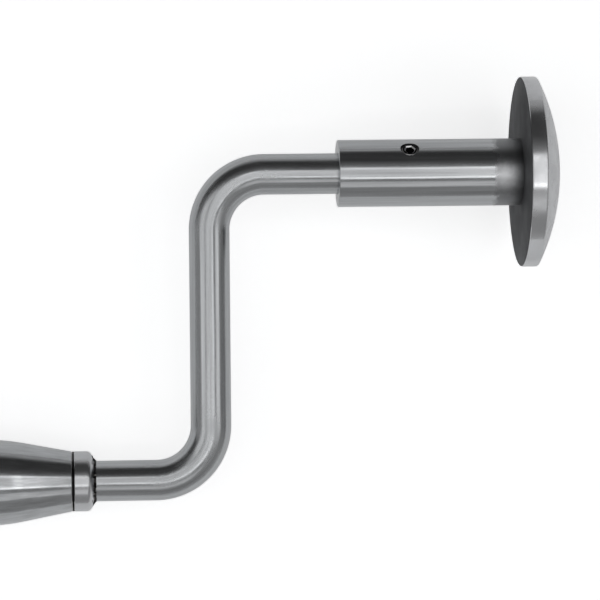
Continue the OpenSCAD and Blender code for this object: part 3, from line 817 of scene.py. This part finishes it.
for side, way in (("head_side", 1), ("chuck_side", -1)):
    start, end, _ = span("grip_collar_" + side)
    foot = end if way > 0 else start
    thick_x = foot - way * SHADE_RING_H / math.tan(math.radians(COLLAR_SLOPE))
    thin_x = foot + way * SHADE_RING_L
    thick, corner, thin = np.array([
        [thick_x, bar_r + SHADE_RING_H], [foot, bar_r + SHADE_RING_SAG], [thin_x, bar_r + SEAT_GAP]])
    hollow = [(1 - t) ** 2 * thick + 2 * t * (1 - t) * corner + t * t * thin
              for t in np.linspace(0, 1, SHADE_RING_STEPS + 1)]
    shade_ring = turned("painted_shade_ring_" + side, [
        [thick_x, bar_r - SHADE_RING_SUNK], *hollow, [thin_x, bar_r - SHADE_RING_SUNK]],
        painted_corner_shade, grip_y)
    for vertex in shade_ring.data.vertices:
        swell = noise.noise(vertex.co / LUMP_SIZE) * LUMP_HEIGHT
        from_axis = Vector((0, vertex.co.y - grip_y * MM, vertex.co.z))
        if from_axis.length > bar_r * MM:
            vertex.co += from_axis.normalized() * swell + Vector((way * abs(swell), 0, 0))
    placed(smoothed(shade_ring, SHADE_RING_SHARP), "crank", "collar_steel")

# %% [markdown]
# ## The chuck
# The chuck takes the drill bit. Its body is one turning with a long bore, three
# windows for the locking balls and a hole for the cross pin. The windows are
# drilled with the same kind of cutter as the sleeve's hole, and their
# directions come from the balls in the frame.

# %% Chuck body
GUIDE_R = 4.8
GUIDE_L = 11
LOCK_R = 3.9
SOCKET_L = 24
RING_GROOVE = (2.75, 3.85, 6.2)
FLANGE = (38, 44, 10.6)
TAIL = (44.6, 9.2, 7.2)
PIN_X = 51
PIN_HOLE_R = 1.52
WINDOW_LIP_R = 1.78
WINDOW_R = 2.05
WINDOW_FLOOR_R = 4.08
WINDOW_START_R = 1
BARREL_R = 7
NOSE_BEVEL = 0.8
FINE_EDGE = 0.1
chuck_start, chuck_end, _ = span("chuck_body")
groove_start, groove_end, groove_r = RING_GROOVE
flange_start, flange_end, flange_r = FLANGE
tail_start, tail_r, tail_end_r = TAIL
chuck = turned("chuck_body_finished", eased([
    [chuck_start, GUIDE_R, FINE_EDGE], [chuck_start, BARREL_R - NOSE_BEVEL, FINE_EDGE],
    [chuck_start + NOSE_BEVEL, BARREL_R, FINE_EDGE], [groove_start, BARREL_R],
    [groove_start, groove_r], [groove_end, groove_r], [groove_end, BARREL_R],
    [flange_start, BARREL_R], [flange_start, flange_r, EDGE], [flange_end, flange_r, EDGE],
    [tail_start, tail_r], [chuck_end - 2 * EDGE, tail_end_r, FINE_EDGE],
    [chuck_end, tail_end_r - 2 * EDGE, FINE_EDGE],
    [chuck_end, bar_r + SEAT_GAP], [SOCKET_L, bar_r + SEAT_GAP], [SOCKET_L, LOCK_R],
    [GUIDE_L, LOCK_R], [GUIDE_L, GUIDE_R]]), chuck_steel)
for ball_name in ("locking_ball_1", "locking_ball_2", "locking_ball_3"):
    low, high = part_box(ball_name)
    ball_at = (low + high) / 2 / MM
    window = turned("ball_window", [
        [WINDOW_START_R, 0], [WINDOW_START_R, WINDOW_LIP_R], [WINDOW_FLOOR_R, WINDOW_LIP_R],
        [WINDOW_FLOOR_R, WINDOW_R], [BARREL_R + PAST, WINDOW_R], [BARREL_R + PAST, 0]],
        chuck_steel, sides=SMALL_SIDES)
    cut(chuck, stood(window, outward(*ball_at)))
pin_drill = turned("pin_drill", [
    [-flange_r, 0], [-flange_r, PIN_HOLE_R], [flange_r, PIN_HOLE_R], [flange_r, 0]],
    chuck_steel, sides=SMALL_SIDES)
cut(chuck, stood(pin_drill, outward(PIN_X, 0, 1)))
placed(smoothed(chuck), "crank", "chuck_steel", "chuck_body")
print("chuck is", round(chuck_end - chuck_start, 1), "mm long")

# %% [markdown]
# ### Release collar and its knurl
# The fingers pull this collar back to free the bit, so it has a band of diamond
# knurling. A knurling wheel presses two crossing sets of grooves into the
# metal, and small blunt pyramids stand between them. A bump map would look flat
# at the outline. Geometry Nodes place one real pyramid at each crossing: the
# index of a point gives its row and its place in the row, and every second row
# is turned by half a step. The sums stand in a table: the name of a result, what
# is done, and to what. Each line becomes one Math node.

# %% The tree that knurls
KNURL_ANGLE = math.radians(30)
knurl, given = geometry_tree("diamond_knurl", {
    "Start": "Float", "Band radius": "Float", "Rows": "Int", "Pyramids round": "Int",
    "Height": "Float", "Top share": "Float", "Sunk": "Float"})
known = dict(given.items()) | {"index": node(knurl, "GeometryNodeInputIndex")}
for result, operation, *terms in (
        ("step", "DIVIDE", 2 * math.pi, "Pyramids round"),
        ("width", "MULTIPLY", "step", "Band radius"),
        ("half width", "MULTIPLY", "width", 0.5),
        ("half length", "DIVIDE", "half width", math.tan(KNURL_ANGLE)),
        ("top radius", "MULTIPLY", "half width", "Top share"),
        ("count", "MULTIPLY", "Rows", "Pyramids round"),
        ("rows passed", "DIVIDE", "index", "Pyramids round"),
        ("row", "FLOOR", "rows passed"),
        ("odd row", "MODULO", "row", 2.0),
        ("half turned", "MULTIPLY", "odd row", 0.5),
        ("steps round", "ADD", "index", "half turned"),
        ("angle", "MULTIPLY", "steps round", "step"),
        ("upright", "SUBTRACT", "angle", math.pi / 2),
        ("foot radius", "SUBTRACT", "Band radius", "Sunk"),
        ("cosine", "COSINE", "angle"),
        ("sine", "SINE", "angle"),
        ("x", "MULTIPLY_ADD", "row", "half length", "Start"),
        ("y", "MULTIPLY", "foot radius", "cosine"),
        ("z", "MULTIPLY", "foot radius", "sine")):
    known[result] = node(knurl, "ShaderNodeMath", {
        k: known.get(term, term) for k, term in enumerate(terms)}, operation=operation)
crossings = node(knurl, "GeometryNodePoints", {"Count": known["count"], "Position": node(
    knurl, "ShaderNodeCombineXYZ", {0: known["x"], 1: known["y"], 2: known["z"]})})
pyramid = node(knurl, "GeometryNodeMeshCone", {
    "Vertices": 4, "Radius Bottom": known["half width"], "Radius Top": known["top radius"],
    "Depth": given["Height"]})
upright = node(knurl, "ShaderNodeCombineXYZ", {0: known["upright"]})
stretched = node(knurl, "ShaderNodeCombineXYZ", {0: 1 / math.tan(KNURL_ANGLE), 1: 1.0, 2: 1.0})
pyramids = node(knurl, "GeometryNodeInstanceOnPoints", {
    "Points": crossings, "Instance": pyramid, "Rotation": upright, "Scale": stretched})
on_collar = node(knurl, "GeometryNodeJoinGeometry")
knurl.links.new(given["Geometry"], on_collar.inputs[0])
knurl.links.new(node(knurl, "GeometryNodeRealizeInstances", {"Geometry": pyramids}).outputs[0],
                on_collar.inputs[0])
knurl_grain = node(knurl, "GeometryNodeStoreNamedAttribute", {
    "Geometry": on_collar, "Name": "grain", "Value": node(knurl, "GeometryNodeInputPosition")},
    data_type="FLOAT_VECTOR")
knurled_steel = turned_steel("knurled_steel", STEEL, 0.24, 1.0e-6)
closed_tree(knurl, knurl_grain, knurled_steel)
print("tree", knurl.name, "has", len(knurl.nodes), "nodes")

# %% Release collar
BAND = (5, 18, 10.45)
BODY_R = 10.4
CHAMBER = (20.02, 9.2)
LAND_R = 7.05
CONE = (10.4, 16.22, 8.215)
FRONT_LAND = 9
RING_ROOM_R = 8.4
LIP_SLOPE_L, LIP_EDGE_L, LIP_L = 5, 3.4, 2.8
KNURL_ROUND = 60
KNURL_HEIGHT = 0.4
KNURL_SUNK = 0.05
KNURL_TOP = 0.25
collar_start, collar_end, rim_r = span("release_collar")
band_start, band_end, band_r = BAND
chamber_start, chamber_r = CHAMBER
cone_start, cone_end, cone_r = CONE
release_collar = turned("release_collar_finished", eased([
    [collar_start, RING_ROOM_R, FINE_EDGE], [collar_start, BODY_R - NOSE_BEVEL, 2 * FINE_EDGE],
    [collar_start + NOSE_BEVEL, BODY_R, 2 * FINE_EDGE], [band_start, BODY_R],
    [band_start, band_r], [band_end, band_r], [band_end, BODY_R],
    [collar_end - LIP_SLOPE_L, BODY_R, 4 * FINE_EDGE],
    [collar_end - LIP_EDGE_L, rim_r - EDGE, 2 * FINE_EDGE], [collar_end - LIP_L, rim_r, EDGE],
    [collar_end - NOSE_BEVEL, rim_r, EDGE], [collar_end, rim_r - NOSE_BEVEL, FINE_EDGE],
    [collar_end, chamber_r, FINE_EDGE], [chamber_start, chamber_r], [chamber_start, LAND_R],
    [cone_end, LAND_R], [cone_start, cone_r], [FRONT_LAND, cone_r], [FRONT_LAND, LAND_R],
    [groove_end, LAND_R], [groove_end, RING_ROOM_R]]), knurled_steel)
knurl_half = math.pi * band_r / KNURL_ROUND / math.tan(KNURL_ANGLE)
knurl_rows = int((band_end - band_start - 2 * knurl_half) / knurl_half) + 1
knurl_margin = (band_end - band_start - (knurl_rows - 1) * knurl_half) / 2
grown(release_collar, knurl, {
    "Start": (band_start + knurl_margin) * MM, "Band radius": band_r * MM, "Rows": knurl_rows,
    "Pyramids round": KNURL_ROUND, "Height": KNURL_HEIGHT * MM, "Top share": KNURL_TOP,
    "Sunk": KNURL_SUNK * MM})
placed(smoothed(release_collar), "release", "knurled_steel", "release_collar")
print(knurl_rows, "rows of", KNURL_ROUND, "pyramids")

# %% [markdown]
# ### Return spring
# The spring behind the release collar is one wire wound to a helix whose end
# turns lie close. A curve that is resampled and moved along a formula gives
# every turn from a few numbers, and a circle swept along it gives the wire. On
# the real chuck the wire shortens as the collar slides back. Here the finished
# mesh rides on the crank and keeps its length.

# %% The tree that winds the spring
winding, given = geometry_tree("wound_spring", {
    "Start": "Float", "Turns": "Int", "Steps a turn": "Int", "Radius": "Float",
    "Wire radius": "Float", "Wire sides": "Int", "End pitch": "Float", "Open pitch": "Float"})
known = dict(given.items()) | {"share": node(winding, "GeometryNodeSplineParameter")}
for result, operation, *terms in (
        ("points", "MULTIPLY_ADD", "Turns", "Steps a turn", 1.0),
        ("turn", "MULTIPLY", "share", "Turns"),
        ("past first", "SUBTRACT", "turn", 1.0),
        ("begun", "MAXIMUM", "past first", 0.0),
        ("open turns", "SUBTRACT", "Turns", 2.0),
        ("opened", "MINIMUM", "begun", "open turns"),
        ("closed", "SUBTRACT", "turn", "opened"),
        ("open climb", "MULTIPLY_ADD", "opened", "Open pitch", "Start"),
        ("x", "MULTIPLY_ADD", "closed", "End pitch", "open climb"),
        ("angle", "MULTIPLY", "turn", 2 * math.pi),
        ("cosine", "COSINE", "angle"),
        ("sine", "SINE", "angle"),
        ("y", "MULTIPLY", "Radius", "cosine"),
        ("z", "MULTIPLY", "Radius", "sine")):
    known[result] = node(winding, "ShaderNodeMath", {
        k: known.get(term, term) for k, term in enumerate(terms)}, operation=operation)
wire = node(winding, "GeometryNodeResampleCurve", {
    "Curve": node(winding, "GeometryNodeCurvePrimitiveLine"), "Count": known["points"]},
    mode="COUNT")
wound_place = node(winding, "ShaderNodeCombineXYZ", {0: known["x"], 1: known["y"], 2: known["z"]})
wound = node(winding, "GeometryNodeSetPosition", {"Geometry": wire, "Position": wound_place})
wire_ring = node(winding, "GeometryNodeCurvePrimitiveCircle", {
    "Resolution": given["Wire sides"], "Radius": given["Wire radius"]})
round_wire = node(winding, "GeometryNodeCurveToMesh", {
    "Curve": wound, "Profile Curve": wire_ring, "Fill Caps": True})
print("tree", winding.name, "has", len(winding.nodes), "nodes")

# %% [markdown]
# ## Small parts
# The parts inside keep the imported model's shapes, which are right, and only get
# their finish. Each is named for its metal: sintered bronze for the bushes,
# ground steel for what is hardened, mirror steel for the balls, drawn steel for
# the spring and the retaining ring, and black acetal for the two washers beside
# the grip. Their patterns read Object coordinates, which are metres here, so a
# speck has a real size.

# %% Small finishes
SPECKED_FROM, SPECKED_TO = 0.38, 0.55
SPECKED_ROUGHNESS = (1.3, 0.8)


def fine_finish(name, tone, dark_tone, speck, depth, roughness, metallic=1.0, shine=0.5):
    """A finish with specks of a real size in metres, from dark_tone to tone."""
    material, tree = new_material(name)
    spot = node(tree, "ShaderNodeTexCoord").outputs["Object"]
    specks = node(tree, "ShaderNodeTexNoise", {"Vector": spot, "Scale": 1 / speck, "Detail": 3.0})
    spread = node(tree, "ShaderNodeMapRange", {
        "Value": specks, "From Min": SPECKED_FROM, "From Max": SPECKED_TO})
    colour = node(tree, "ShaderNodeMix", {
        "Factor": spread, 6: linear(dark_tone), 7: linear(tone)}, data_type="RGBA").outputs[2]
    rough = node(tree, "ShaderNodeMapRange", {
        "Value": specks, "To Min": roughness * SPECKED_ROUGHNESS[0],
        "To Max": roughness * SPECKED_ROUGHNESS[1]})
    return finished_look(material, tree, {
        "Base Color": colour, "Metallic": metallic, "Roughness": rough,
        "Specular IOR Level": shine,
        "Normal": node(tree, "ShaderNodeBump", {"Height": specks, "Distance": depth})})


sintered_bronze = fine_finish("sintered_bronze", "#A9824C", "#4A3418", 0.25 * MM, 25e-6, 0.38)
ground_steel = fine_finish("ground_hardened_steel", "#A6A8AC", "#909296", 0.3 * MM, 3e-6, 0.24)
mirror_steel = fine_finish("mirror_bearing_steel", "#DADBDD", "#CFD0D2", 2 * MM, 0.5e-6, 0.06)
drawn_spring = fine_finish("drawn_spring_steel", "#A3A5A9", "#8E9094", 0.25 * MM, 1e-6, 0.26)
black_acetal = fine_finish("black_acetal", "#0B0B0C", "#060607", 0.3 * MM, 6e-6, 0.42, 0.0, 0.1)

# %% Spring
SPRING_TURNS = 6
WIRE_R = 0.6
WIRE_SHARP = 60
SPRING_ROOM = 1.1
SPRING_GAP = 0.1
END_PITCH = 1.7
closed_tree(winding, round_wire, drawn_spring)
spring_start = chamber_start + SPRING_GAP + WIRE_R
spring_l = flange_start - SPRING_GAP - WIRE_R - spring_start
spring_mesh = bpy.data.meshes.new("return_spring")
spring = grown(new_piece("return_spring_finished", spring_mesh), winding, {
    "Start": spring_start * MM, "Turns": SPRING_TURNS, "Steps a turn": 48,
    "Radius": (BARREL_R + SPRING_ROOM) * MM, "Wire radius": WIRE_R * MM, "Wire sides": 16,
    "End pitch": END_PITCH * MM,
    "Open pitch": (spring_l - 2 * END_PITCH) / (SPRING_TURNS - 2) * MM})
spring.data.set_sharp_from_angle(angle=math.radians(WIRE_SHARP))
placed(spring, "crank", "spring_steel", "collar_spring")
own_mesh(spring)

# %% Finishes of the small parts
KEPT_NODES = {
    sintered_bronze: ["sleeve_bush_open_end", "sleeve_bush_disc_end",
                      "grip_bush_head_side", "grip_bush_chuck_side"],
    ground_steel: ["thrust_cup", "driver_insert", "chuck_pin"],
    mirror_steel: ["thrust_ball", "locking_ball_1", "locking_ball_2", "locking_ball_3"],
    drawn_spring: ["retaining_ring"],
    black_acetal: ["grip_washer_head_side", "grip_washer_chuck_side"],
}
for material, names in KEPT_NODES.items():
    for name in names:
        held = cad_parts[name].data.materials
        held.clear()
        held.append(material)
    print(material.name, "on", ", ".join(names))

# %% [markdown]
# ## Stage
# The tool lies on its disc rim, the grip and the chuck, so the floor is the
# plane through those three contacts and tilts a few degrees in the tool's
# frame. It is matt paper. The camera sees it white because a little light of
# its own is added for camera rays, and the soft shadow stays in it.

# %% Floor
FLOOR_AT = -10.6
FLOOR_RISE = (-0.0423, -0.0779)
FLOOR_R = 900
FLOOR_SIDES = 96
FLOOR_MIDDLE = (150, -30, 0)
FLOOR_TONE = "#E6E7E8"
FLOOR_LIT = 0.68
LIT_FROM, LIT_TO = 0.35, 0.8
FLOOR_IN_METAL = 0.32
FIBRE_SIZE = MM / 0.9
FIBRE_DEPTH = 20e-6


def seen_straight(tree, path):
    """1 for what the camera sees itself or through glass, and 0 for all other rays."""
    return node(tree, "ShaderNodeMath", {
        0: path["Is Camera Ray"], 1: path["Is Transmission Ray"]}, operation="MAXIMUM")


material, tree = new_material("matt_white_paper")
path = node(tree, "ShaderNodeLightPath").outputs
spot = node(tree, "ShaderNodeTexCoord").outputs["Object"]
away = node(tree, "ShaderNodeVectorMath", {0: spot}, operation="LENGTH").outputs["Value"]
lift = node(tree, "ShaderNodeMapRange", {
    "Value": away, "From Min": LIT_FROM, "From Max": LIT_TO, "To Min": FLOOR_LIT, "To Max": 1.0})
# Glossy rays see the floor glow as well, at FLOOR_IN_METAL of its strength. That glow is painted
# light in the metal's reflections, and it is weaker near the tool, a painted shade there.
in_metal = node(tree, "ShaderNodeMath", {
    0: path["Is Glossy Ray"], 1: FLOOR_IN_METAL}, operation="MULTIPLY")
shown = node(tree, "ShaderNodeMath", {
    0: seen_straight(tree, path), 1: in_metal}, operation="MAXIMUM")
strength = node(tree, "ShaderNodeMath", {0: lift, 1: shown}, operation="MULTIPLY")
fibres = node(tree, "ShaderNodeTexNoise", {"Vector": spot, "Scale": 1 / FIBRE_SIZE, "Detail": 3.0})
paper = finished_look(material, tree, {
    "Base Color": linear(FLOOR_TONE), "Roughness": 0.9, "Specular IOR Level": 0.2,
    "Emission Color": (1, 1, 1, 1), "Emission Strength": strength,
    "Normal": node(tree, "ShaderNodeBump", {"Height": fibres, "Distance": FIBRE_DEPTH})})

build = bmesh.new()
bmesh.ops.create_circle(build, cap_ends=True, radius=FLOOR_R * MM, segments=FLOOR_SIDES)
for vertex in build.verts:
    vertex.co += Vector(FLOOR_MIDDLE) * MM
    vertex.co.z = FLOOR_AT * MM + vertex.co.x * FLOOR_RISE[0] + vertex.co.y * FLOOR_RISE[1]
floor_mesh = bpy.data.meshes.new("floor")
build.to_mesh(floor_mesh)
build.free()
floor_mesh.materials.append(paper)
new_piece("floor", floor_mesh)
print("floor reaches", FLOOR_R, "mm from the tool")

# %% [markdown]
# ## Light
# Polished steel shows the room, so the light is laid out as a photographer
# does it. A white panel stands round the lens and its edges are brightest, one
# more panel stands at each side and below, and nothing but a dark room is
# above. The panels are lamps in the plane of the camera. Each is given by the
# angles that it fills, seen from the tool, and by the brightness that it adds,
# where 1 is a white surface in full light. Where lamps overlap, their light
# adds up only if no two lie in one plane, so each stands a little further back.

# %% Soft boxes
BOX_DISTANCE = (CAMERA_AT - CAMERA_AIM).length
BOX_STEP = 4 * MM
SOFT_BOXES = {
    "round_the_lens": (-21, 22, -19, 20, 0.50),
    "upper_edge": (-26, 26, 14, 19, 0.55),
    "lower_edge": (-26, 26, -19, -14.5, 1.15),
    "right_edge": (14.5, 21, -19, 20, 0.55),
    "left_panel": (-53, -27, -25, 25, 0.62),
    "right_panel": (34, 56, -25, 25, 0.72),
    "lower_panel": (-32, 32, -50, -31, 0.38),
}
for place, (name, (left, right, bottom, top, brightness)) in enumerate(SOFT_BOXES.items()):
    x0, x1, y0, y1 = (BOX_DISTANCE * math.tan(math.radians(a)) for a in (left, right, bottom, top))
    box_light = bpy.data.lights.new(name, "AREA")
    box_light.shape = "RECTANGLE"
    box_light.size, box_light.size_y = x1 - x0, y1 - y0
    box_light.energy = brightness * math.pi * (x1 - x0) * (y1 - y0)
    lamp = bpy.data.objects.new(name, box_light)
    bpy.context.scene.collection.objects.link(lamp)
    lamp.visible_camera = False
    centre = CAMERA_AT + camera_right * (x0 + x1) / 2 + camera_up * (y0 + y1) / 2
    centre += camera_back * BOX_STEP * place
    lamp.matrix_world = Matrix.Translation(centre) @ camera_turn
    print(name, round(x1 - x0, 2), "by", round(y1 - y0, 2), "m")

# %% [markdown]
# ### The room
# The rest of the room is the world. Its brightness depends on two angles: how
# far a direction leans towards the top of the picture, and how far to the
# side. It is dark above, with a light strip low at the wall, and grey below.
# A panorama could do this, but two ramps need no file and can be tuned one
# strip at a time. The camera itself sees plain white instead.

# %% Room
ROOM_UP = {-90: 0.36, -80: 0.28, -60: 0.28, -45: 0.32, -25: 0.26, 15: 0.26, 24: 0.20, 32: 0.12,
           42: 0.055, 72: 0.045, 79: 0.14, 84: 0.42, 88: 0.40, 90: 0.30}
ROOM_ACROSS = {-90: 1.5, -60: 1.1, -30: 1.0, 60: 1.0, 78: 0.8, 90: 0.65}


def by_angle(tree, angle, stops):
    """A ramp over an angle in radians, from its stops in degrees. It runs from -90 to 90."""
    place = node(tree, "ShaderNodeMapRange", {
        "Value": angle, "From Min": -math.pi / 2, "From Max": math.pi / 2})
    ramp = node(tree, "ShaderNodeValToRGB", {0: place})
    elements = ramp.color_ramp.elements
    while len(elements) < len(stops):
        elements.new(0.5)
    for element, (degrees, grey) in zip(elements, stops.items()):
        element.position = (degrees + 90) / 180
        element.color = (grey, grey, grey, 1)
    return ramp


world = bpy.data.worlds.new("room")
world.use_nodes = True
bpy.context.scene.world = world
tree = world.node_tree
tree.nodes.clear()
way = node(tree, "ShaderNodeTexCoord").outputs["Generated"]
leaning = [node(tree, "ShaderNodeVectorMath", {0: way, 1: axis}, operation="DOT_PRODUCT")
           for axis in (camera_up, camera_back, camera_right)]
upwards, backwards, sideways = (lean.outputs["Value"] for lean in leaning)
angle_up = node(tree, "ShaderNodeMath", {0: upwards, 1: backwards}, operation="ARCTAN2")
angle_across = node(tree, "ShaderNodeMath", {0: sideways}, operation="ARCSINE")
room_tone = node(tree, "ShaderNodeVectorMath", {
    0: by_angle(tree, angle_up, ROOM_UP), 1: by_angle(tree, angle_across, ROOM_ACROSS)},
    operation="MULTIPLY")
seen = seen_straight(tree, node(tree, "ShaderNodeLightPath").outputs)
room = node(tree, "ShaderNodeBackground", {"Color": room_tone})
white = node(tree, "ShaderNodeBackground", {"Color": (1, 1, 1, 1)})
node(tree, "ShaderNodeOutputWorld", {"Surface": node(
    tree, "ShaderNodeMixShader", {0: seen, 1: room, 2: white})})
bpy.context.scene.view_settings.view_transform = "Standard"
print("room tones:", ROOM_UP, ROOM_ACROSS)
